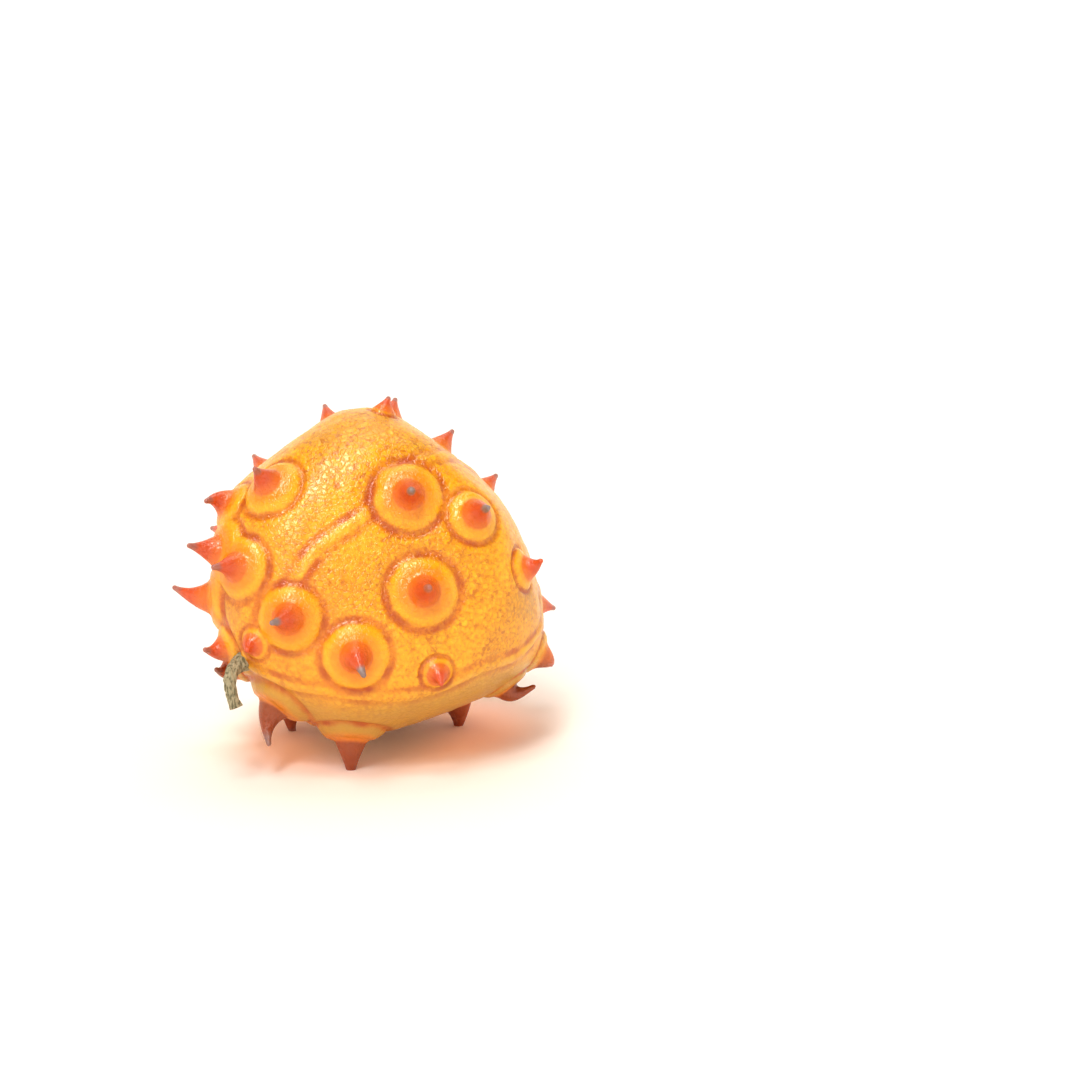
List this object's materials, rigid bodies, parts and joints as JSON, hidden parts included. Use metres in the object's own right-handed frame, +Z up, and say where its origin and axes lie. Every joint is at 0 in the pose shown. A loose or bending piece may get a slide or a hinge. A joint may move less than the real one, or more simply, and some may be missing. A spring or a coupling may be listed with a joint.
{
  "type": "horned melon",
  "caption": "Whole horned melon lying on its side on its own horns, with blunt cone horns on low domes all round and a dry bent stub of stalk at one end.",
  "frame": {"origin": "on the floor under the middle of the fruit", "axes": "+Z up; X runs along the fruit from its stalk end at -X to its blossom end at +X, which lies about 16 degrees higher; -Y is one long side"},
  "size_m": [0.1056, 0.0992, 0.0894],
  "materials": {
    "melon_skin": "waxy golden orange fruit skin, finely mottled, with deeper orange rings and horns and dry grey tips",
    "dry_stalk": "dry matt grey green stalk"
  },
  "bodies": {
    "root": {"melon": "melon_skin", "stem_stub": "dry_stalk"}
  },
  "joints": []
}
